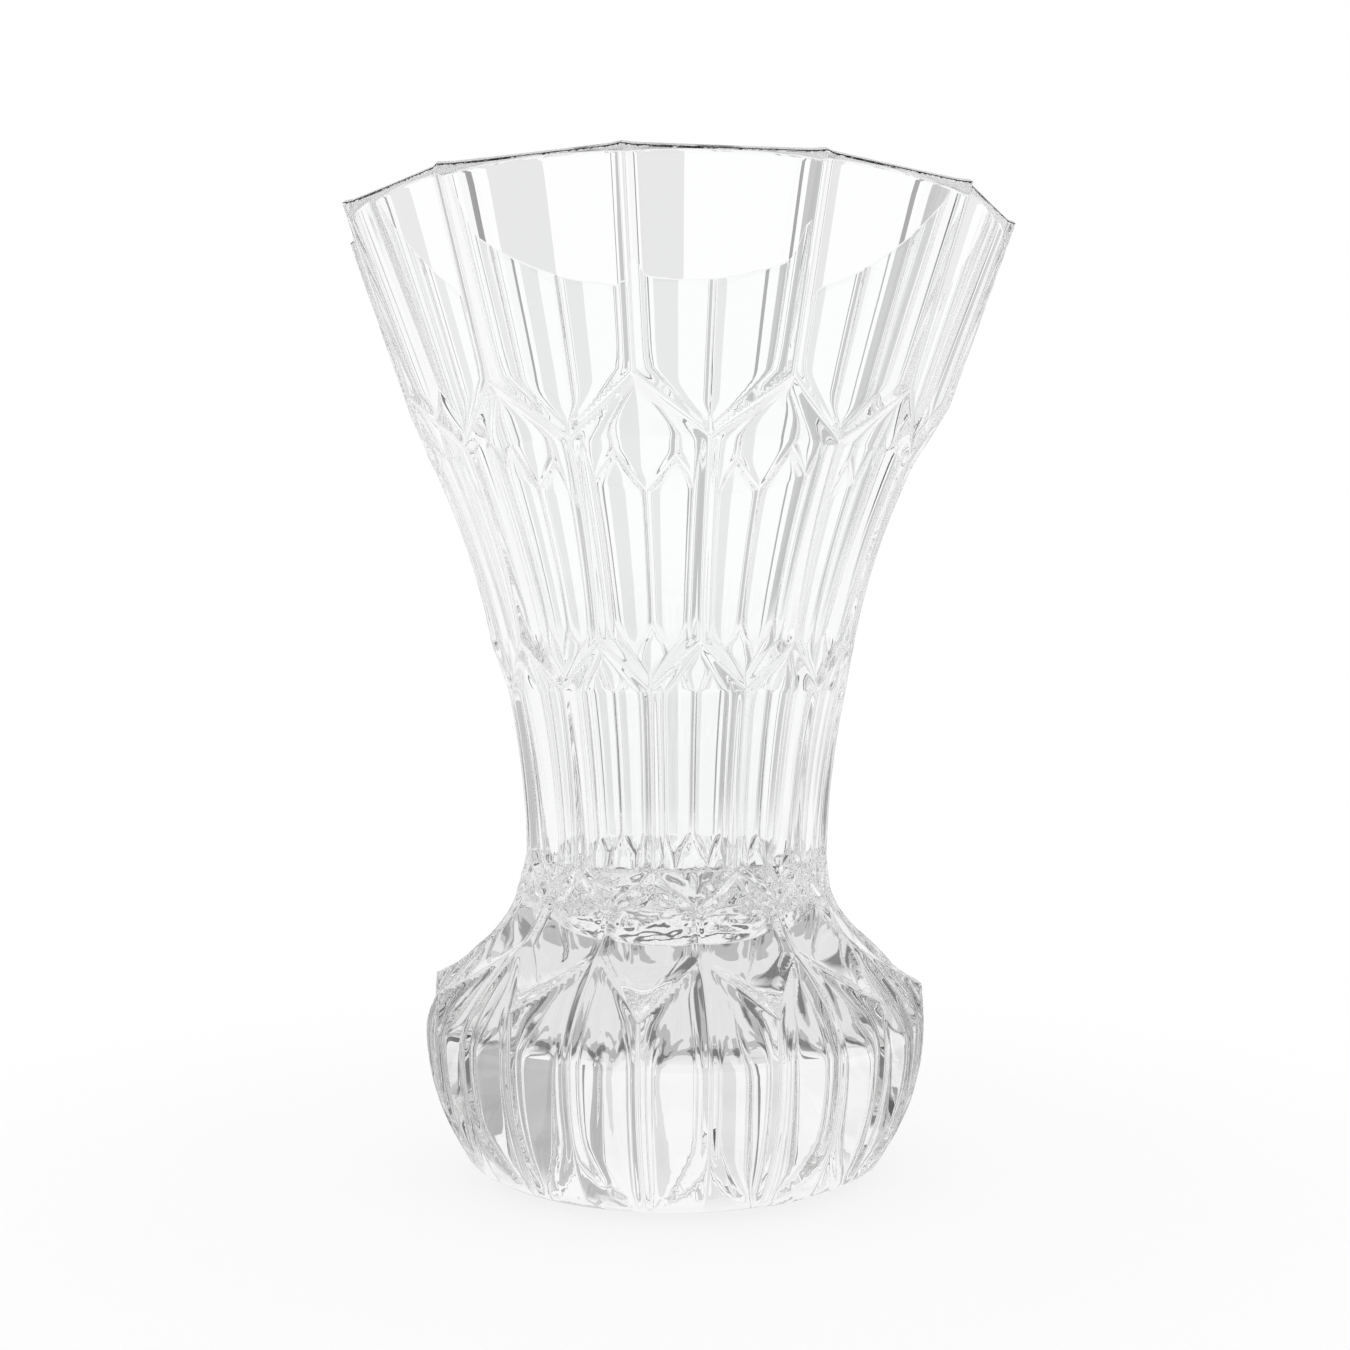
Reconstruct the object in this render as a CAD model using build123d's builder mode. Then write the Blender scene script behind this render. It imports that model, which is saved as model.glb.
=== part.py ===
"""Clear pressed-glass flower vase: a flared bowl on a solid bulb foot.

Twelve hollow panels run round the vase in five tiers. Each tier is turned half a
panel from the one above it, so the tiers meet in zigzag rings. The foot stands on
the plane Z = 0, the axis of the vase is +Z, and a ridge of the top tier faces -Y.
All sizes are in millimetres.
"""

import os
from math import cos, pi, radians, sin

from build123d import *

# Panels
panel_count = 12
panel_hollow = 0.7

# Heights of the foot's stretches, from the table up
toe_height = 5.5
heel_height = 7.5
belly_height = 11.0
brow_height = 12.0

# Heights of the bowl's tiers and of the zigzag rings between them, from the foot up
shoulder_zigzag_height = 9.1
shoulder_height = 8.1
waist_zigzag_height = 6.5
neck_height = 32.1
middle_zigzag_height = 8.8
middle_height = 34.3
upper_zigzag_height = 10.2
upper_height = 34.9

# Corner radius at the waist, and how far each stretch flares out from there
waist_radius = 29.2
neck_flare = 3.7
neck_sag = 0.8
middle_zigzag_flare = 2.4
middle_flare = 11.5
middle_sag = 1.3
upper_zigzag_flare = 5.6
upper_flare = 12.5
waist_zigzag_flare = 2.5
shoulder_flare = 5.8
shoulder_zigzag_flare = 9.7

# How far the foot swells below the shoulder, and draws in again towards the table
belly_swell = 0.3
heel_draw = 2.3
toe_draw = 3.2
base_draw = 5.5
base_ring_width = 6.5
base_dome_height = 1.0

# Glass round the inside
floor_thickness = 5.0
floor_radius = 9.0
waist_wall = 5.6
middle_wall = 4.0
upper_wall = 3.0
rim_wall = 2.2
rim_round = 0.8

# Angles shared by all rings
half_panel = 180 / panel_count
flat_share = cos(radians(half_panel))
straight = 0.0
turned = half_panel

# Levels of the rings above the table
toe_level = toe_height
heel_level = toe_level + heel_height
belly_level = heel_level + belly_height
foot_top = belly_level + brow_height
shoulder_top = foot_top + shoulder_zigzag_height
waist_point = shoulder_top + shoulder_height
waist_top = waist_point + waist_zigzag_height
middle_point = waist_top + neck_height
middle_top = middle_point + middle_zigzag_height
upper_point = middle_top + middle_height
upper_top = upper_point + upper_zigzag_height
rim_level = upper_top + upper_height
floor_level = foot_top + floor_thickness

# Corner radii of the rings, up from the waist and then down from it
middle_point_radius = waist_radius + neck_flare
middle_top_radius = middle_point_radius + middle_zigzag_flare
upper_point_radius = middle_top_radius + middle_flare
upper_top_radius = upper_point_radius + upper_zigzag_flare
rim_radius = upper_top_radius + upper_flare
waist_point_radius = waist_radius + waist_zigzag_flare
shoulder_top_radius = waist_point_radius + shoulder_flare
foot_top_radius = shoulder_top_radius + shoulder_zigzag_flare
belly_radius = foot_top_radius + belly_swell
heel_radius = belly_radius - heel_draw
toe_radius = heel_radius - toe_draw
base_radius = toe_radius - base_draw

# Halfway rings that make the middle and neck tiers curve
middle_mid_radius = (middle_top_radius + upper_point_radius) / 2 - middle_sag
neck_mid_radius = (waist_radius + middle_point_radius) / 2 - neck_sag


def panel_middle(radius):
    """Distance from the axis to the middle of a hollow panel with this corner radius."""
    return radius * flat_share - panel_hollow


def ring(level, radius, turn):
    """Level outline with a corner at each ridge and sides drawn in by the hollow."""
    step = 2 * pi / panel_count
    with BuildSketch(Plane.XY.offset(level)) as outline:
        with BuildLine():
            for panel in range(panel_count):
                start = radians(turn) + panel * step
                middle = start + step / 2
                end = start + step
                ThreePointArc(
                    (radius * cos(start), radius * sin(start)),
                    (panel_middle(radius) * cos(middle), panel_middle(radius) * sin(middle)),
                    (radius * cos(end), radius * sin(end)),
                )
        make_face()
    return outline.sketch


def polygon(level, radius, turn):
    """Level outline with a corner at each ridge and straight sides."""
    with BuildSketch(Plane.XY.offset(level)) as outline:
        RegularPolygon(radius, panel_count, rotation=turn)
    return outline.sketch


def tier(turn, *rings):
    """Stretch of hollow panels through rings of (level, corner radius)."""
    with BuildPart() as stretch:
        loft([ring(level, radius, turn) for level, radius in rings], ruled=True)
    return stretch.part


def zigzag(turn, point_level, point_radius, top_level, top_radius):
    """Ring where the panels above end in points and the panels below ramp out to them."""
    panels_above = [
        ring(point_level, (point_radius + panel_hollow) / flat_share, turn),
        ring(top_level, top_radius, turn),
    ]
    ramps_below = [
        ring(point_level, point_radius, turn + half_panel),
        polygon(top_level, top_radius / flat_share, turn + half_panel),
    ]
    with BuildPart() as band:
        loft(panels_above, ruled=True)
        loft(ramps_below, ruled=True, mode=Mode.INTERSECT)
    return band.part


# Stretches of the bowl, from the rim down
stretches = [
    tier(straight, (upper_top, upper_top_radius), (rim_level, rim_radius)),
    zigzag(straight, upper_point, upper_point_radius, upper_top, upper_top_radius),
    tier(
        turned,
        (middle_top, middle_top_radius),
        (middle_top + middle_height / 2, middle_mid_radius),
        (upper_point, upper_point_radius),
    ),
    zigzag(turned, middle_point, middle_point_radius, middle_top, middle_top_radius),
    tier(
        straight,
        (waist_top, waist_radius),
        (waist_top + neck_height / 2, neck_mid_radius),
        (middle_point, middle_point_radius),
    ),
    zigzag(straight, waist_point, waist_point_radius, waist_top, waist_radius),
    tier(turned, (shoulder_top, shoulder_top_radius), (waist_point, waist_point_radius)),
    zigzag(turned, foot_top, foot_top_radius, shoulder_top, shoulder_top_radius),
]

# Bowl: flared and hollow, with a smooth round inside and a thick floor
rim_inside = panel_middle(rim_radius) - rim_wall
upper_inside = panel_middle(upper_point_radius) - upper_wall
middle_inside = panel_middle(middle_point_radius) - middle_wall
waist_inside = panel_middle(waist_radius) - waist_wall
with BuildPart() as bowl:
    add(stretches)
    with BuildSketch(Plane.XZ):
        with BuildLine():
            wall = Spline(
                (floor_radius, floor_level),
                (waist_inside, waist_top),
                (middle_inside, middle_point),
                (upper_inside, upper_point),
                (rim_inside, rim_level),
                tangents=((1, 0), (rim_inside - upper_inside, rim_level - upper_point)),
            )
            Polyline(wall @ 1, (0, rim_level), (0, floor_level), wall @ 0)
        make_face()
    revolve(axis=Axis.Z, mode=Mode.SUBTRACT)
    rim_edge = bowl.faces().sort_by(Axis.Z)[-1].inner_wires()[0].edges()
    fillet(rim_edge, rim_round)
bowl.part.label = "bowl"

# Foot: solid bulb on a level ring, domed in a little underneath
dome_edge_radius = panel_middle(base_radius) - base_ring_width
dome_radius = (dome_edge_radius**2 + base_dome_height**2) / (2 * base_dome_height)
with BuildPart() as foot:
    add(
        tier(
            straight,
            (0, base_radius),
            (toe_level, toe_radius),
            (heel_level, heel_radius),
            (belly_level, belly_radius),
            (foot_top, foot_top_radius),
        )
    )
    with Locations((0, 0, base_dome_height - dome_radius)):
        Sphere(dome_radius, mode=Mode.SUBTRACT)
foot.part.label = "foot"

os.makedirs("parts", exist_ok=True)
for piece in (bowl, foot):
    export_step(piece.part, f"parts/{piece.part.label}.step")
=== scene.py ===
"""Looks of the clear pressed-glass flower vase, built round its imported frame.

The glass is one seamless skin. Outside, hollow panels stand in staggered tiers with
zigzag rings between them, above a foot whose flutes run out in arches over the heel.
Inside, a smooth round hollow turns wrinkled near its floor. The vase stands on a pale
floor in soft studio light, seen from the photograph's angle.
"""

import logging
import math
from dataclasses import dataclass
from enum import Enum

import bmesh
import bpy
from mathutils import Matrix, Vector, noise


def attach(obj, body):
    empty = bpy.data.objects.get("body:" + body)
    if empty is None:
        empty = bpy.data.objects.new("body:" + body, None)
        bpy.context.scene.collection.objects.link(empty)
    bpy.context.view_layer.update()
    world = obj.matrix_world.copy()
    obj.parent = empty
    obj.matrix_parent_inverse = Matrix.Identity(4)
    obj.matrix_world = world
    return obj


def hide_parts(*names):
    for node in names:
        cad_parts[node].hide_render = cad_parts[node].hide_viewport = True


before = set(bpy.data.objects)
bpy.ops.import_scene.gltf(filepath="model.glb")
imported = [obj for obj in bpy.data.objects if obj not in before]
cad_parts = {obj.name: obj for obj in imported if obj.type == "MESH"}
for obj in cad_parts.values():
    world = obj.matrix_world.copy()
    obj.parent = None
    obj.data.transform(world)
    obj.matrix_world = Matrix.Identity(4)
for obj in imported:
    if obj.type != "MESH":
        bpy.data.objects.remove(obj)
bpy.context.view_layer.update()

LOG = logging.getLogger("vase")
MM = 0.001
FULL_TURN = 360.0

Colour = tuple[float, float, float, float]
Crossing = tuple[tuple[int, int], tuple[int, int]]
Loop = list[bmesh.types.BMVert]
Row = list[Vector]
Socket = bpy.types.NodeSocket
Stops = tuple[tuple[float, float], ...]
Tree = bpy.types.NodeTree


def bow(share: float) -> float:
    """Gives the height of a shallow bow, 0 at both ends and 1 in the middle."""
    return 4.0 * share * (1.0 - share)


def clamp(value: float) -> float:
    """Holds a value between 0 and 1."""
    return min(1.0, max(0.0, value))


def grey(tone: float) -> Colour:
    """Gives a grey as an opaque colour."""
    return (tone, tone, tone, 1.0)


def outward(place: Vector) -> Vector:
    """Gives the direction straight out from the axis at a place."""
    return Vector((place.x, place.y, 0.0)).normalized()


class Phase(Enum):
    """Which edges of the half panels carry the ridges of a tier."""

    STRAIGHT = 0
    TURNED = 1


class Steps(Enum):
    """How the tones of a row of stops run from one to the next."""

    SMOOTH = "LINEAR"
    HARD = "CONSTANT"


@dataclass(frozen=True)
class ClearGlass:
    """Clear, fire-polished glass with faint ripples and a trace of haze."""

    name: str = "clear_glass"
    tint: tuple[float, float, float] = (0.995, 0.997, 0.997)
    tint_deep: tuple[float, float, float] = (0.985, 0.99, 0.99)
    ior: float = 1.52
    body: tuple[float, float, float] = (0.5, 0.49, 0.47)
    body_density: float = 1.0
    ripple_scale: float = 60.0
    ripple_strength: float = 0.02
    ripple_height: float = 1.0

    def build(self) -> bpy.types.Material:
        """Makes the material.

        Returns:
            The glass material, on Object coordinates.
        """
        material = bpy.data.materials.new(self.name)
        material.use_nodes = True
        shader = material.node_tree.nodes["Principled BSDF"]
        shader.inputs["Transmission Weight"].default_value = 1.0
        shader.inputs["IOR"].default_value = self.ior
        shader.inputs["Roughness"].default_value = 0.0
        self._add_depth(material.node_tree)
        self._add_ripples(material.node_tree, shader)
        return material

    def _add_depth(self, tree: Tree) -> None:
        """Darkens the glass a little where it is thick.

        Args:
            tree: The material's node tree.
        """
        depth = tree.nodes.new("ShaderNodeVolumeAbsorption")
        depth.inputs["Color"].default_value = (*self.body, 1.0)
        depth.inputs["Density"].default_value = self.body_density
        tree.links.new(depth.outputs["Volume"], tree.nodes["Material Output"].inputs["Volume"])

    def _add_ripples(self, tree: Tree, shader: bpy.types.Node) -> None:
        """Lets the tint and the surface waver a little.

        Args:
            tree: The material's node tree.
            shader: The glass shader.
        """
        nodes, links = tree.nodes, tree.links
        place = nodes.new("ShaderNodeTexCoord")
        cloud = nodes.new("ShaderNodeTexNoise")
        cloud.inputs["Scale"].default_value = self.ripple_scale
        links.new(place.outputs["Object"], cloud.inputs["Vector"])
        tint = nodes.new("ShaderNodeMix")
        tint.data_type = "RGBA"
        tint.inputs["A"].default_value = (*self.tint, 1.0)
        tint.inputs["B"].default_value = (*self.tint_deep, 1.0)
        links.new(cloud.outputs["Fac"], tint.inputs["Factor"])
        links.new(tint.outputs["Result"], shader.inputs["Base Color"])
        bump = nodes.new("ShaderNodeBump")
        bump.inputs["Strength"].default_value = self.ripple_strength
        bump.inputs["Distance"].default_value = self.ripple_height * MM
        links.new(cloud.outputs["Fac"], bump.inputs["Height"])
        links.new(bump.outputs["Normal"], shader.inputs["Normal"])


@dataclass(frozen=True)
class Columns:
    """The columns of points round the axis, crowded towards both edges of a half panel."""

    panel_count: int = 12
    half_count: int = 16
    crowding: float = 0.3

    @property
    def count(self) -> int:
        """Number of columns round the vase."""
        return 2 * self.panel_count * self.half_count

    @property
    def half_angle(self) -> float:
        """Angle that half a panel takes round the axis."""
        return math.pi / self.panel_count

    def share(self, step: int) -> float:
        """Gives how far a column lies across its half panel, from 0 to 1."""
        even = step / self.half_count
        return even - self.crowding * math.sin(math.tau * even) / math.tau

    def spot(self, half: float, radius: float, level: float) -> Vector:
        """Gives the point at an angle that is counted in half panels."""
        angle = half * self.half_angle
        return Vector((radius * math.cos(angle), radius * math.sin(angle), level))

    def across(self, column: int, phase: Phase) -> tuple[int, int, float]:
        """Places a column on its half panel.

        Args:
            column: Column number round the vase.
            phase: The edges that carry the tier's ridges.

        Returns:
            Where the ridge and the panel's middle are, counted in half panels, and the
            share of the way from the ridge to the middle.
        """
        half, step = divmod(column, self.half_count)
        share = self.share(step)
        if half % 2 == phase.value:
            return half, half + 1, share
        return half + 1, half, 1.0 - share

    def round_row(self, level: float, radius: float) -> Row:
        """Gives one row of a plain round stretch.

        Args:
            level: Height in millimetres.
            radius: Radius in millimetres.

        Returns:
            The places of the columns, in millimetres.
        """
        row = []
        for column in range(self.count):
            half, step = divmod(column, self.half_count)
            row.append(self.spot(half + self.share(step), radius, level))
        return row

    def ridges(self, phase: Phase) -> range:
        """Gives the columns of a tier's ridges."""
        return range(phase.value * self.half_count, self.count, 2 * self.half_count)


@dataclass(frozen=True, kw_only=True)
class Band:
    """One band of hollow panels, in millimetres, from its top ring to its low ring."""

    phase: Phase
    top_level: float
    top_ridge: float
    low_level: float
    hollow: float = 0.8
    round_over: float = 1.3
    rows: int = 12

    @property
    def height(self) -> float:
        """Height from the low ring to the top ring."""
        return self.top_level - self.low_level

    def levels(self) -> list[float]:
        """Gives the row levels from the top down, closer together at both ends."""
        turns = (math.pi * row / self.rows for row in range(self.rows + 1))
        return [self.low_level + self.height * (0.5 + 0.5 * math.cos(turn)) for turn in turns]

    def ridge(self, level: float) -> float:
        """Gives the ridge radius at a level, which each kind of band works out its own way."""
        raise NotImplementedError


@dataclass(frozen=True, kw_only=True)
class Tier(Band):
    """A tier of the bowl, with ridges that run straight or sag inwards."""

    low_ridge: float
    sag: float = 0.0

    def ridge(self, level: float) -> float:
        """Gives the ridge radius at a level."""
        share = (level - self.low_level) / self.height
        return self.low_ridge + share * (self.top_ridge - self.low_ridge) - self.sag * bow(share)


@dataclass(frozen=True, kw_only=True)
class FootTier(Band):
    """The foot's tier: a round bulb with a ridge under each point and each notch above."""

    arc_level: float = 28.0
    arc_centre: float = 3.6
    arc_radius: float = 44.0
    flute_low: float = 1.0
    arch_top: float = 13.5
    arch_power: float = 2.0
    arch_fade: float = 1.6
    brow_power: float = 1.7
    arm_dip: float = 1.1

    def ridge(self, level: float) -> float:
        """Gives the ridge radius at a level."""
        return self.arc_centre + math.sqrt(self.arc_radius**2 - (level - self.arc_level) ** 2)

    def flute_end(self, share: float) -> float:
        """Gives where a flute runs out, in an arch that is highest under the notches."""
        return self.flute_low + (self.arch_top - self.flute_low) * share**self.arch_power

    def fullness(self, level: float, brow: float) -> float:
        """Gives how far a column has swelled from its brow to the belly, from 0 to 1."""
        rise = max(0.0, level - self.arc_level) / (brow - self.arc_level)
        return max(0.0, 1.0 - rise**self.brow_power)


@dataclass(frozen=True)
class Base:
    """The round heel that the vase stands on, and the rays cut under it, in millimetres."""

    heel_round: float = 13.0
    heel_top: float = 9.5
    contact_radius: float = 31.3
    dome_height: float = 1.0
    row_shares: tuple[float, ...] = (0.96, 0.9, 0.8, 0.65, 0.5, 0.35, 0.2, 0.1)
    ray_count: int = 24
    ray_depth: float = 1.2

    def trim(self, places: Row) -> Row:
        """Cuts a row of the foot back to the round heel.

        Args:
            places: The row's places, in millimetres.

        Returns:
            The trimmed row.
        """
        trimmed = []
        for place in places:
            drop = self.heel_round - place.z
            limit = self.contact_radius + math.sqrt(max(0.0, self.heel_round**2 - drop**2))
            reach = math.hypot(place.x, place.y)
            share = min(1.0, limit / reach) if place.z < self.heel_top else 1.0
            trimmed.append(Vector((place.x * share, place.y * share, place.z)))
        return trimmed

    def rows(self, columns: Columns) -> list[Row]:
        """Lays out the underside from the heel to the middle.

        Args:
            columns: The columns round the axis.

        Returns:
            The rows, from the heel inwards.
        """
        rows = []
        ray_columns = columns.count / self.ray_count
        for share in self.row_shares:
            row = columns.round_row(self.dome_height * (1.0 - share**2), self.contact_radius * share)
            for column, place in enumerate(row):
                slant = abs((column / ray_columns) % 1.0 * 2.0 - 1.0)
                place.z += self.ray_depth * slant * bow(share)
            rows.append(row)
        return rows


@dataclass(frozen=True)
class Outside:
    """The panelled skin from the rim to the middle of the base, in millimetres."""

    columns: Columns
    base: Base = Base()
    tiers: tuple[Band, ...] = (
        Tier(
            phase=Phase.STRAIGHT,
            top_level=180.0,
            top_ridge=64.9,
            low_level=145.1,
            low_ridge=52.4,
        ),
        Tier(
            phase=Phase.TURNED,
            top_level=134.9,
            top_ridge=46.8,
            low_level=100.6,
            low_ridge=35.3,
            sag=1.3,
        ),
        Tier(
            phase=Phase.STRAIGHT,
            top_level=91.8,
            top_ridge=32.9,
            low_level=59.7,
            low_ridge=29.2,
            sag=0.8,
            round_over=1.1,
        ),
        Tier(
            phase=Phase.TURNED,
            top_level=53.2,
            top_ridge=30.5,
            low_level=45.1,
            low_ridge=35.6,
            sag=0.8,
            round_over=1.1,
            rows=8,
        ),
        FootTier(
            phase=Phase.STRAIGHT,
            top_level=36.0,
            top_ridge=47.2,
            low_level=0.0,
            round_over=1.1,
            rows=26,
        ),
    )

    @property
    def flat(self) -> float:
        """Share of the ridge radius that the middle of a flat panel has."""
        return math.cos(self.columns.half_angle)

    def rows(self) -> tuple[list[Row], list[Crossing]]:
        """Lays out the skin from the rim down.

        Returns:
            The rows, and the pairs of (row, column) that the zigzag arms run between.
        """
        rows = []
        crossings = []
        every = range(self.columns.count)
        for index, tier in enumerate(self.tiers):
            if isinstance(tier, FootTier):
                for level in tier.levels():
                    rows.append(self.base.trim([self._foot_place(column, level) for column in every]))
                continue
            for level in tier.levels():
                rows.append([self._panel_place(index, column, level) for column in every])
            drop = tier.low_level - self.tiers[index + 1].top_level
            for step in range(1, self.columns.half_count):
                crossings += self._arms(tier.phase, len(rows) - 1, step)
                level = tier.low_level - self.columns.share(step) * drop
                rows.append([self._zigzag_place(index, column, level) for column in every])
            crossings += self._arms(tier.phase, len(rows) - 1, self.columns.half_count)
        return rows + self.base.rows(self.columns), crossings

    def _arms(self, phase: Phase, row: int, step: int) -> list[Crossing]:
        """Finds where the arms of a zigzag cross from one row to the next.

        Args:
            phase: The edges that carry the ridges of the tier above.
            row: Number of the upper row.
            step: Number of columns from the ridge to the arm at the lower row.

        Returns:
            The pairs of (row, column) at both ends of each crossing.
        """
        crossings = []
        for column in self.columns.ridges(phase):
            for side in (1, -1):
                start = (column + side * (step - 1)) % self.columns.count
                end = (column + side * step) % self.columns.count
                crossings.append(((row, start), (row + 1, end)))
        return crossings

    def _hollow(self, index: int, share: float, level: float) -> float:
        """Gives how deep a tier's panels are hollowed, rounding over at each edge.

        Args:
            index: Number of the tier, from the rim down.
            share: Way across the half panel, from the ridge to the middle.
            level: Height in millimetres.

        Returns:
            The depth in millimetres.
        """
        tier = self.tiers[index]
        across = tier.ridge(level) * math.sin(self.columns.half_angle)
        gaps = [share * across]
        if index:
            rise = self.tiers[index - 1].low_level - tier.top_level
            edge = tier.top_level + share * rise
            gaps.append((edge - level) * across / math.hypot(across, rise))
        if isinstance(tier, FootTier):
            fade = tier.round_over / tier.arch_fade
            gaps.append((1.0 - share) * across)
            gaps.append((level - tier.flute_end(share)) * fade)
        else:
            drop = tier.low_level - self.tiers[index + 1].top_level
            edge = tier.low_level - share * drop
            gaps.append((level - edge) * across / math.hypot(across, drop))
        rolls = (1.0 - math.exp(-((max(0.0, gap) / tier.round_over) ** 2)) for gap in gaps)
        return tier.hollow * math.prod(rolls)

    def _panel_place(self, index: int, column: int, level: float) -> Vector:
        """Gives the place of a column on the hollow panels of a tier.

        Args:
            index: Number of the tier, from the rim down.
            column: Column number round the vase.
            level: Height in millimetres.

        Returns:
            The place, in millimetres.
        """
        tier = self.tiers[index]
        ridge_half, middle_half, share = self.columns.across(column, tier.phase)
        ridge = self.columns.spot(ridge_half, tier.ridge(level), level)
        middle = self.columns.spot(middle_half, tier.ridge(level) * self.flat, level)
        place = ridge.lerp(middle, share)
        return place - self._hollow(index, share, level) * outward(place)

    def _foot_place(self, column: int, level: float) -> Vector:
        """Gives the place of a column on the foot's flutes.

        Args:
            column: Column number round the vase.
            level: Height in millimetres.

        Returns:
            The place, in millimetres.
        """
        above, foot = self.tiers[-2:]
        point_half, notch_half, share = self.columns.across(column, foot.phase)
        brow = foot.top_level + share * (above.low_level - foot.top_level)
        full = foot.fullness(level, brow)
        belly = foot.ridge(min(level, foot.arc_level))
        point_radius = foot.top_ridge + full * (belly - foot.top_ridge)
        notch_radius = above.low_ridge + full * (belly - above.low_ridge)
        point = self.columns.spot(point_half, point_radius, level)
        notch = self.columns.spot(notch_half, notch_radius, level)
        place = point.lerp(notch, share)
        dip = foot.arm_dip * bow(share) * (1.0 - full)
        return place - (dip + self._hollow(len(self.tiers) - 1, share, level)) * outward(place)

    def _zigzag_place(self, index: int, column: int, level: float) -> Vector:
        """Gives the place of a column between two tiers, where points and notches meet.

        Args:
            index: Number of the tier above.
            column: Column number round the vase.
            level: Height in millimetres.

        Returns:
            The place, in millimetres.
        """
        above, below = self.tiers[index : index + 2]
        top, low = above.low_level, below.top_level
        down = (top - level) / (top - low)
        notch_half, point_half, share = self.columns.across(column, above.phase)
        notch = self.columns.spot(notch_half, above.ridge(top), top)
        point = self.columns.spot(point_half, below.ridge(low), low)
        if share >= down:
            middle = self.columns.spot(point_half, above.ridge(top) * self.flat, top)
            place = (1.0 - share) * notch + down * point + (share - down) * middle
            dip = below.arm_dip * bow(down) if isinstance(below, FootTier) else 0.0
            return place - (dip + self._hollow(index, share, level)) * outward(place)
        if isinstance(below, FootTier):
            return self._foot_place(column, level)
        middle = self.columns.spot(notch_half, below.ridge(low) * self.flat, low)
        place = (1.0 - down) * notch + share * point + (down - share) * middle
        return place - self._hollow(index + 1, 1.0 - share, level) * outward(place)


@dataclass(frozen=True)
class Inside:
    """The round hollow from its floor to the rim, in millimetres."""

    columns: Columns
    knots: Stops = (
        (179.7, 59.7),
        (134.9, 41.5),
        (91.8, 27.0),
        (59.7, 21.9),
        (48.0, 20.0),
        (40.0, 12.5),
    )
    knot_rows: int = 9
    wrinkled_knot_rows: int = 18
    floor_sweep: float = 9.0
    floor_dish: float = 0.2
    floor_dish_radius: float = 2.0
    wrinkle_depth: float = 1.0
    wrinkle_size: float = 5.0
    wrinkle_squash: float = 1.5
    wrinkle_octaves: int = 2
    wrinkle_inner: float = 13.0
    wrinkle_outer: float = 18.0
    wrinkle_top: float = 61.0
    wrinkle_full: float = 58.0

    def rows(self) -> list[Row]:
        """Lays out the hollow from its floor up, with the wrinkles near the floor.

        Returns:
            The rows, from the floor up.
        """
        rows = []
        for level, radius in reversed(self._profile()):
            plain = self.columns.round_row(level, radius)
            rows.append([self._wrinkled(place) for place in plain])
        return rows

    def _profile(self) -> list[tuple[float, float]]:
        """Draws the hollow's outline, on a smooth curve through its knots.

        Returns:
            Pairs of level and radius, from the rim down.
        """
        knots = [Vector(knot) for knot in self.knots]
        befores = knots[:1] + knots[:-1]
        afters = knots[1:] + knots[-1:]
        slopes = [(after - before) / 2.0 for before, after in zip(befores, afters)]
        slopes[-1] = Vector((0.0, -self.floor_sweep))
        profile = []
        for index, (start, end) in enumerate(zip(knots, knots[1:])):
            rows = self.wrinkled_knot_rows if start.x < self.wrinkle_top else self.knot_rows
            for row in range(rows):
                t = row / rows
                place = (
                    (2 * t**3 - 3 * t**2 + 1) * start
                    + (t**3 - 2 * t**2 + t) * slopes[index]
                    + (3 * t**2 - 2 * t**3) * end
                    + (t**3 - t**2) * slopes[index + 1]
                )
                profile.append((place.x, place.y))
        low_level, low_radius = self.knots[-1]
        profile.append((low_level, low_radius))
        profile.append((low_level - self.floor_dish, self.floor_dish_radius))
        return profile

    def _wrinkled(self, place: Vector) -> Vector:
        """Moves a point of the hollow in or out where the glass is wrinkled.

        Args:
            place: The point on the smooth hollow, in millimetres.

        Returns:
            The point on the wrinkled hollow.
        """
        radius = math.hypot(place.x, place.y)
        below = (self.wrinkle_top - place.z) / (self.wrinkle_top - self.wrinkle_full)
        outer = (radius - self.wrinkle_inner) / (self.wrinkle_outer - self.wrinkle_inner)
        weight = clamp(below) * clamp(outer)
        spot = Vector((place.x, place.y, place.z * self.wrinkle_squash)) / self.wrinkle_size
        amount = noise.turbulence(spot, self.wrinkle_octaves, True) * self.wrinkle_depth * weight
        return place + amount * outward(place)


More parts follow.
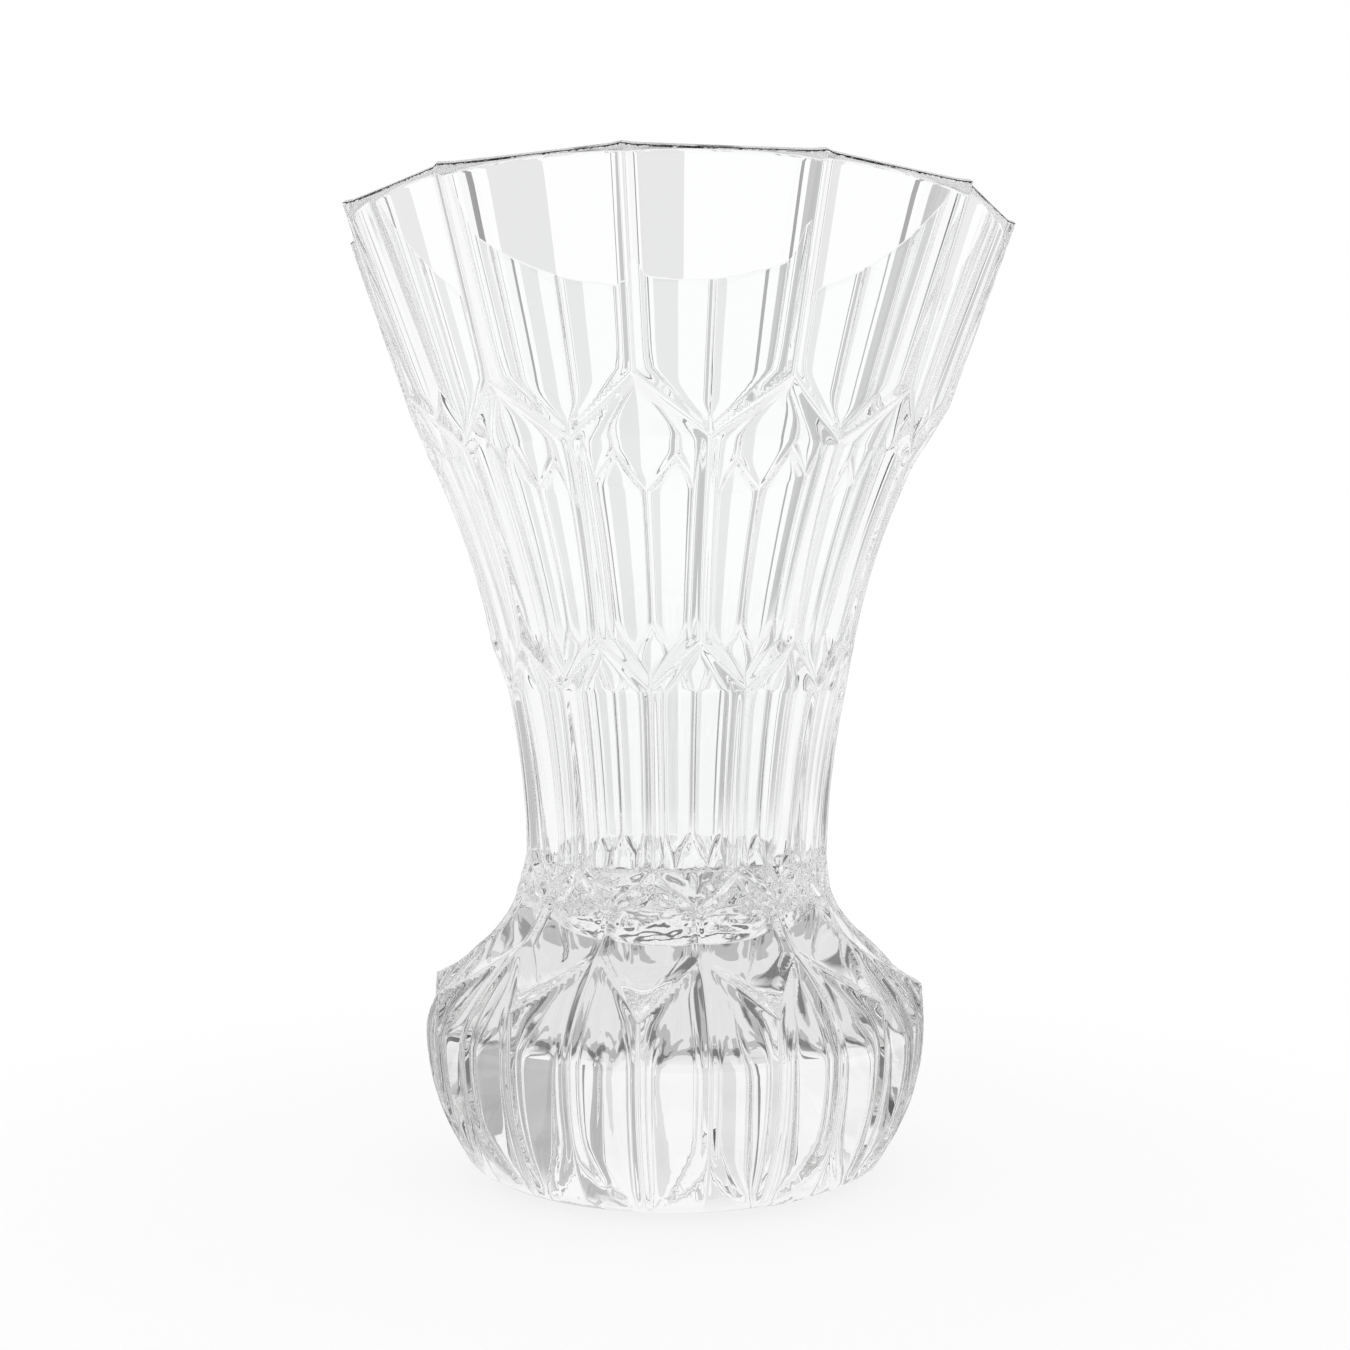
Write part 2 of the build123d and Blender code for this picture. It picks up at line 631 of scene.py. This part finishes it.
@dataclass(frozen=True)
class Glass:
    """The vase's glass: one closed skin, with the panels outside and the hollow inside."""

    columns: Columns
    outside: Outside
    inside: Inside
    name: str = "glass"
    rim_round: float = 1.0
    rim_segments: int = 4
    angle_slack: float = 0.002
    merge_distance: float = 0.001
    facet_weight: int = 60

    def build(self, material: bpy.types.Material) -> bpy.types.Object:
        """Models the whole glass and puts it in place of the frame's nodes.

        Args:
            material: The glass finish.

        Returns:
            The finished piece.
        """
        mesh = bmesh.new()
        self._draw(mesh)
        bmesh.ops.remove_doubles(mesh, verts=mesh.verts, dist=self.merge_distance * MM)
        bmesh.ops.recalc_face_normals(mesh, faces=mesh.faces)
        for face in mesh.faces:
            face.smooth = True
        data = bpy.data.meshes.new(self.name)
        mesh.to_mesh(data)
        mesh.free()
        data.materials.append(material)
        piece = bpy.data.objects.new(self.name, data)
        bpy.context.scene.collection.objects.link(piece)
        shading = piece.modifiers.new("flat facets", "WEIGHTED_NORMAL")
        shading.weight = self.facet_weight
        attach(piece, "root")
        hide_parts("bowl", "foot")
        return piece

    def _draw(self, mesh: bmesh.types.BMesh) -> None:
        """Draws the skin from the hollow's floor over the rim to the middle of the base.

        Args:
            mesh: The empty mesh to draw in.
        """
        inner_rows = self.inside.rows()
        outer_rows, crossings = self.outside.rows()
        loops = []
        for row in inner_rows + outer_rows:
            loops.append(self._grow(mesh, loops[-1] if loops else [], row))
        for loop in (loops[0], loops[-1]):
            bmesh.ops.contextual_create(mesh, geom=self._edges(mesh, loop))
        inner_rim = loops[len(inner_rows) - 1]
        outer = loops[len(inner_rows) :]
        ends = [outer[row][column] for crossing in crossings for row, column in crossing]
        bmesh.ops.connect_verts(mesh, verts=list(dict.fromkeys(ends)))
        bmesh.ops.bevel(
            mesh,
            geom=self._edges(mesh, outer[0]) + self._edges(mesh, inner_rim),
            offset=self.rim_round * MM,
            offset_type="OFFSET",
            affect="EDGES",
            segments=self.rim_segments,
            profile=0.5,
            material=-1,
        )

    def _grow(self, mesh: bmesh.types.BMesh, loop: Loop, row: Row) -> Loop:
        """Draws the skin on from one loop round the axis to the next.

        Args:
            mesh: The mesh to add to.
            loop: The last loop, or an empty list at the start.
            row: Where each column's vertex goes, in millimetres.

        Returns:
            The new loop's vertices, in order round the axis.
        """
        if loop:
            made = bmesh.ops.extrude_edge_only(mesh, edges=self._edges(mesh, loop))["geom"]
            fresh = [item for item in made if isinstance(item, bmesh.types.BMVert)]
        else:
            fresh = bmesh.ops.create_circle(mesh, segments=self.columns.count, radius=1.0)["verts"]
        fresh.sort(key=self._turn)
        for vert, place in zip(fresh, row):
            vert.co = place * MM
        return fresh

    def _turn(self, vert: bmesh.types.BMVert) -> float:
        """Gives a vertex's angle round the axis, with the first column kept first."""
        return (math.atan2(vert.co.y, vert.co.x) + self.angle_slack) % math.tau

    def _edges(self, mesh: bmesh.types.BMesh, loop: Loop) -> list[bmesh.types.BMEdge]:
        """Gives the edges of a closed loop."""
        return [mesh.edges.get(ends) for ends in zip(loop, loop[1:] + loop[:1])]


def ramp(tree: Tree, value: Socket, stops: Stops, steps: Steps = Steps.SMOOTH) -> Socket:
    """Adds a row of tones over a value.

    Args:
        tree: The node tree to add to.
        value: What the tones follow, from 0 to 1.
        stops: Pairs of place and tone, in order.
        steps: How the tones run from stop to stop.

    Returns:
        The tone.
    """
    node = tree.nodes.new("ShaderNodeValToRGB")
    node.color_ramp.interpolation = steps.value
    points = node.color_ramp.elements
    for point, (place, tone) in zip((points[0], points[-1]), (stops[0], stops[-1])):
        point.position = place
        point.color = grey(tone)
    for place, tone in stops[1:-1]:
        points.new(place).color = grey(tone)
    tree.links.new(value, node.inputs["Fac"])
    return node.outputs["Color"]


def calculate(tree: Tree, operation: str, *values: Socket | float) -> Socket:
    """Adds a sum over sockets and numbers.

    Args:
        tree: The node tree to add to.
        operation: Name of the sum.
        values: What it works on.

    Returns:
        The result.
    """
    node = tree.nodes.new("ShaderNodeMath")
    node.operation = operation
    for socket, value in zip(node.inputs, values):
        if isinstance(value, float):
            socket.default_value = value
        else:
            tree.links.new(value, socket)
    return node.outputs["Value"]


def keep(tree: Tree, value: Socket, weight: Socket) -> Socket:
    """Draws a value back to 1 where its weight is low.

    Args:
        tree: The node tree to add to.
        value: The value.
        weight: How much of the value is kept, from 0 to 1.

    Returns:
        What is kept.
    """
    return calculate(tree, "MULTIPLY_ADD", weight, calculate(tree, "SUBTRACT", value, 1.0), 1.0)


@dataclass(frozen=True)
class Camera:
    """The photograph's camera, in millimetres, degrees and the photograph's pixels."""

    photo_side: float = 1350.0
    focal_pixels: float = 1883.0
    sensor: float = 36.0
    distance: float = 363.4
    height: float = 96.7
    turn: float = 7.67
    pitch: float = -0.36

    def build(self) -> None:
        """Sets the camera where the photograph was taken from."""
        data = bpy.data.cameras.new("camera")
        data.sensor_width = self.sensor
        data.lens = self.sensor * self.focal_pixels / self.photo_side
        camera = bpy.data.objects.new("camera", data)
        turn = math.radians(self.turn)
        camera.location = (
            self.distance * MM * math.sin(turn),
            -self.distance * MM * math.cos(turn),
            self.height * MM,
        )
        camera.rotation_euler = (math.radians(90.0 + self.pitch), 0.0, turn)
        bpy.context.scene.collection.objects.link(camera)
        bpy.context.scene.camera = camera


@dataclass(frozen=True)
class Cloth:
    """White cloth hung round the vase as soft light, in bays with grey flags between.

    The flags are pairs of angle and tone. The angle is in degrees from straight behind
    the vase, and positive to the camera's left. The wall is where the flags hang: pairs
    of height in the surround, from 0 straight down to 1 straight up, and share.
    """

    camera_turn: float
    flags: Stops = (
        (-180.0, 0.08),
        (-168.0, 0.85),
        (-158.0, 0.08),
        (-120.0, 0.85),
        (-110.0, 0.2),
        (-80.0, 0.95),
        (-53.0, 0.05),
        (-46.0, 1.0),
        (-38.0, 0.5),
        (-25.0, 0.1),
        (-24.4, 0.55),
        (-17.0, 1.0),
        (-13.2, 0.35),
        (-12.2, 1.0),
        (2.5, 0.8),
        (10.5, 1.0),
        (14.0, 0.3),
        (15.0, 0.95),
        (19.0, 1.0),
        (28.0, 0.1),
        (29.0, 1.0),
        (40.0, 0.6),
        (43.0, 1.0),
        (60.0, 0.1),
        (64.0, 1.0),
        (82.0, 0.2),
        (110.0, 0.85),
        (120.0, 0.08),
        (158.0, 0.85),
        (168.0, 0.08),
    )
    wall: Stops = ((0.39, 0.0), (0.44, 1.0), (0.66, 1.0), (0.72, 0.0))
    ceiling_tone: float = 0.97
    bounces: int = 32
    glossy_bounces: int = 24

    def bays(self, tree: Tree, split: bpy.types.Node, reach: float = FULL_TURN / 2) -> Socket:
        """Adds the tones of the cloth's bays round the axis.

        Args:
            tree: The node tree to add to.
            split: Node that gives X and Y from the axis.
            reach: How far round from the back the flags go, in degrees. The rest is white.

        Returns:
            The tone of the bay in that direction.
        """
        azimuth = calculate(tree, "ARCTAN2", split.outputs["Y"], split.outputs["X"])
        front = math.radians(self.camera_turn - FULL_TURN / 4)
        turned = calculate(tree, "SUBTRACT", azimuth, front)
        share = calculate(tree, "FRACT", calculate(tree, "DIVIDE", turned, math.tau))
        stops = tuple(
            (0.5 + angle / FULL_TURN, tone if abs(angle) <= reach else 1.0)
            for angle, tone in self.flags
        )
        return ramp(tree, share, stops, Steps.HARD)

    def hang(self) -> None:
        """Hangs the cloth under a white ceiling, plain white to the camera and the floor."""
        world = bpy.data.worlds.new("studio")
        bpy.context.scene.world = world
        world.use_nodes = True
        tree = world.node_tree
        nodes, links = tree.nodes, tree.links
        place = nodes.new("ShaderNodeTexCoord")
        split = nodes.new("ShaderNodeSeparateXYZ")
        links.new(place.outputs["Generated"], split.inputs["Vector"])
        height = calculate(tree, "MULTIPLY_ADD", split.outputs["Z"], 0.5, 0.5)
        surround = nodes.new("ShaderNodeMix")
        surround.data_type = "RGBA"
        surround.inputs["A"].default_value = grey(self.ceiling_tone)
        links.new(self.bays(tree, split), surround.inputs["B"])
        links.new(ramp(tree, height, self.wall), surround.inputs["Factor"])
        path = nodes.new("ShaderNodeLightPath")
        camera_ray, floor_ray = path.outputs["Is Camera Ray"], path.outputs["Is Diffuse Ray"]
        seen = nodes.new("ShaderNodeMix")
        seen.data_type = "RGBA"
        links.new(surround.outputs["Result"], seen.inputs["A"])
        seen.inputs["B"].default_value = grey(1.0)
        links.new(calculate(tree, "MAXIMUM", camera_ray, floor_ray), seen.inputs["Factor"])
        links.new(seen.outputs["Result"], nodes["Background"].inputs["Color"])
        settings = bpy.context.scene.cycles
        settings.max_bounces = self.bounces
        settings.transmission_bounces = self.bounces
        settings.glossy_bounces = self.glossy_bounces


@dataclass(frozen=True)
class Floor:
    """The pale floor, plain to the camera but for the vase's soft shadow.

    Only the glass sees the painted light on it: a painted contact shadow, a dark ring
    where the vase stands, painted shadow streak lines round it and a painted reflection of
    the cloth's bays further out. Stops are pairs of share of the radius and tone, or
    weight, and the stops of the painted shadow streak noise are pairs of noise and tone.
    """

    cloth: Cloth
    radius: float = 220.0
    segments: int = 96
    tone: float = 0.95
    shade_share: float = 0.2
    shade_stops: Stops = ((0.45, 1.0), (0.95, 0.0))
    # Painted contact shadow: a dark ring on the floor under the vase's base, seen only by the glass.
    contact_shadow_stops: Stops = ((0.085, 1.0), (0.09, 0.1), (0.14, 0.1), (0.15, 1.0))
    # Painted shadow: noise streak lines on the floor round the vase stand in for its shadow and
    # caustics, seen only by the glass.
    shadow_streaks: float = 5.0
    streak_reach: float = 25.0
    shadow_streak_stops: Stops = ((0.42, 0.03), (0.44, 0.42), (0.53, 0.42), (0.54, 0.82))
    streak_start: Stops = ((0.2, 0.0), (0.23, 1.0))
    streak_end: Stops = ((0.5, 0.0), (0.8, 1.0))
    # How far round from the back the painted reflection of the cloth's flags on the floor goes, in
    # degrees.
    open_front: float = 75.0

    def lay(self) -> None:
        """Lays the floor under the vase."""
        mesh = bmesh.new()
        bmesh.ops.create_circle(
            mesh, cap_ends=True, segments=self.segments, radius=self.radius * MM
        )
        data = bpy.data.meshes.new("floor")
        mesh.to_mesh(data)
        mesh.free()
        data.materials.append(self._material())
        floor = bpy.data.objects.new("floor", data)
        bpy.context.scene.collection.objects.link(floor)

    def _material(self) -> bpy.types.Material:
        """Makes the floor's material.

        Returns:
            A material that is matt under the vase's shadow and white elsewhere, and that shows the
            glass painted shade and a painted reflection.
        """
        material = bpy.data.materials.new("pale_floor")
        material.use_nodes = True
        tree = material.node_tree
        nodes, links = tree.nodes, tree.links
        shader = nodes["Principled BSDF"]
        shader.inputs["Base Color"].default_value = grey(self.tone)
        shader.inputs["Roughness"].default_value = 1.0
        place = nodes.new("ShaderNodeTexCoord")
        length = nodes.new("ShaderNodeVectorMath")
        length.operation = "LENGTH"
        links.new(place.outputs["Object"], length.inputs[0])
        distance = length.outputs["Value"]
        share = calculate(tree, "DIVIDE", distance, self.radius * MM)
        split = nodes.new("ShaderNodeSeparateXYZ")
        links.new(place.outputs["Object"], split.inputs["Vector"])
        # Painted shadow streak lines on the floor, seen only by the glass.
        shadow_streaks = self._paint_shadow_streaks(tree, split, distance)
        painted_shade_tone = self._paint_shade_and_reflection(tree, split, shadow_streaks, share)
        path = nodes.new("ShaderNodeLightPath")
        mirrored, refracted = path.outputs["Is Glossy Ray"], path.outputs["Is Transmission Ray"]
        glass_ray = calculate(tree, "MAXIMUM", mirrored, refracted)
        glow = nodes.new("ShaderNodeEmission")
        # The floor glows evenly white to the camera. To the glass, its glow carries the painted shade
        # and the painted reflection.
        links.new(keep(tree, painted_shade_tone, glass_ray), glow.inputs["Strength"])
        seen = calculate(tree, "MAXIMUM", path.outputs["Is Camera Ray"], glass_ray)
        shade = calculate(tree, "MULTIPLY", ramp(tree, share, self.shade_stops), self.shade_share)
        white = calculate(tree, "MULTIPLY", seen, calculate(tree, "SUBTRACT", 1.0, shade))
        mix = nodes.new("ShaderNodeMixShader")
        links.new(white, mix.inputs["Fac"])
        links.new(shader.outputs["BSDF"], mix.inputs[1])
        links.new(glow.outputs["Emission"], mix.inputs[2])
        links.new(mix.outputs["Shader"], nodes["Material Output"].inputs["Surface"])
        return material

    def _paint_shadow_streaks(self, tree: Tree, split: bpy.types.Node, distance: Socket) -> Socket:
        """Adds painted shadow: dark streak lines that run out from the vase, standing in for its
        shadow and caustics.

        Args:
            tree: The node tree to add to.
            split: Node that gives X and Y from the axis.
            distance: Distance from the axis, in metres.

        Returns:
            The tone of the painted shadow streak lines.
        """
        azimuth = calculate(tree, "ARCTAN2", split.outputs["Y"], split.outputs["X"])
        spread = tree.nodes.new("ShaderNodeCombineXYZ")
        tree.links.new(calculate(tree, "MULTIPLY", azimuth, self.shadow_streaks), spread.inputs["X"])
        tree.links.new(calculate(tree, "MULTIPLY", distance, self.streak_reach), spread.inputs["Y"])
        cloud = tree.nodes.new("ShaderNodeTexNoise")
        cloud.inputs["Scale"].default_value = 1.0
        tree.links.new(spread.outputs["Vector"], cloud.inputs["Vector"])
        return ramp(tree, cloud.outputs["Fac"], self.shadow_streak_stops)

    def _paint_shade_and_reflection(self, tree: Tree, split: bpy.types.Node, shadow_streaks: Socket, share: Socket) -> Socket:
        """Joins the painted contact shadow ring, the painted shadow streak tone and a painted
        reflection of the cloth's bays.

        Args:
            tree: The node tree to add to.
            split: Node that gives X and Y from the axis.
            shadow_streaks: The tone of the painted shadow streak lines.
            share: Distance from the axis, as a share of the floor's radius.

        Returns:
            The painted shade and reflection tone that the glass sees.
        """
        near = keep(tree, shadow_streaks, ramp(tree, share, self.streak_start))
        outer = ramp(tree, share, self.streak_end)
        inner = calculate(tree, "MULTIPLY", near, calculate(tree, "SUBTRACT", 1.0, outer))
        # Painted reflection: further out, the floor shows the glass the cloth's bays and flags as if
        # mirrored in it.
        bays = self.cloth.bays(tree, split, self.open_front)
        joined = calculate(tree, "MULTIPLY_ADD", bays, outer, inner)
        # The painted contact shadow ring darkens all that the glass sees there.
        return calculate(tree, "MULTIPLY", joined, ramp(tree, share, self.contact_shadow_stops))


def main() -> None:
    """Builds the vase and its studio, and notes the sizes."""
    logging.basicConfig(level=logging.INFO, format="%(message)s")
    columns = Columns()
    glass = Glass(columns, Outside(columns), Inside(columns)).build(ClearGlass().build())
    LOG.info("piece %s: %d faces", glass.name, len(glass.data.polygons))
    camera = Camera()
    camera.build()
    cloth = Cloth(camera.turn)
    cloth.hang()
    Floor(cloth).lay()
    bpy.context.scene.view_settings.view_transform = "Standard"


if __name__ == "__main__":
    main()
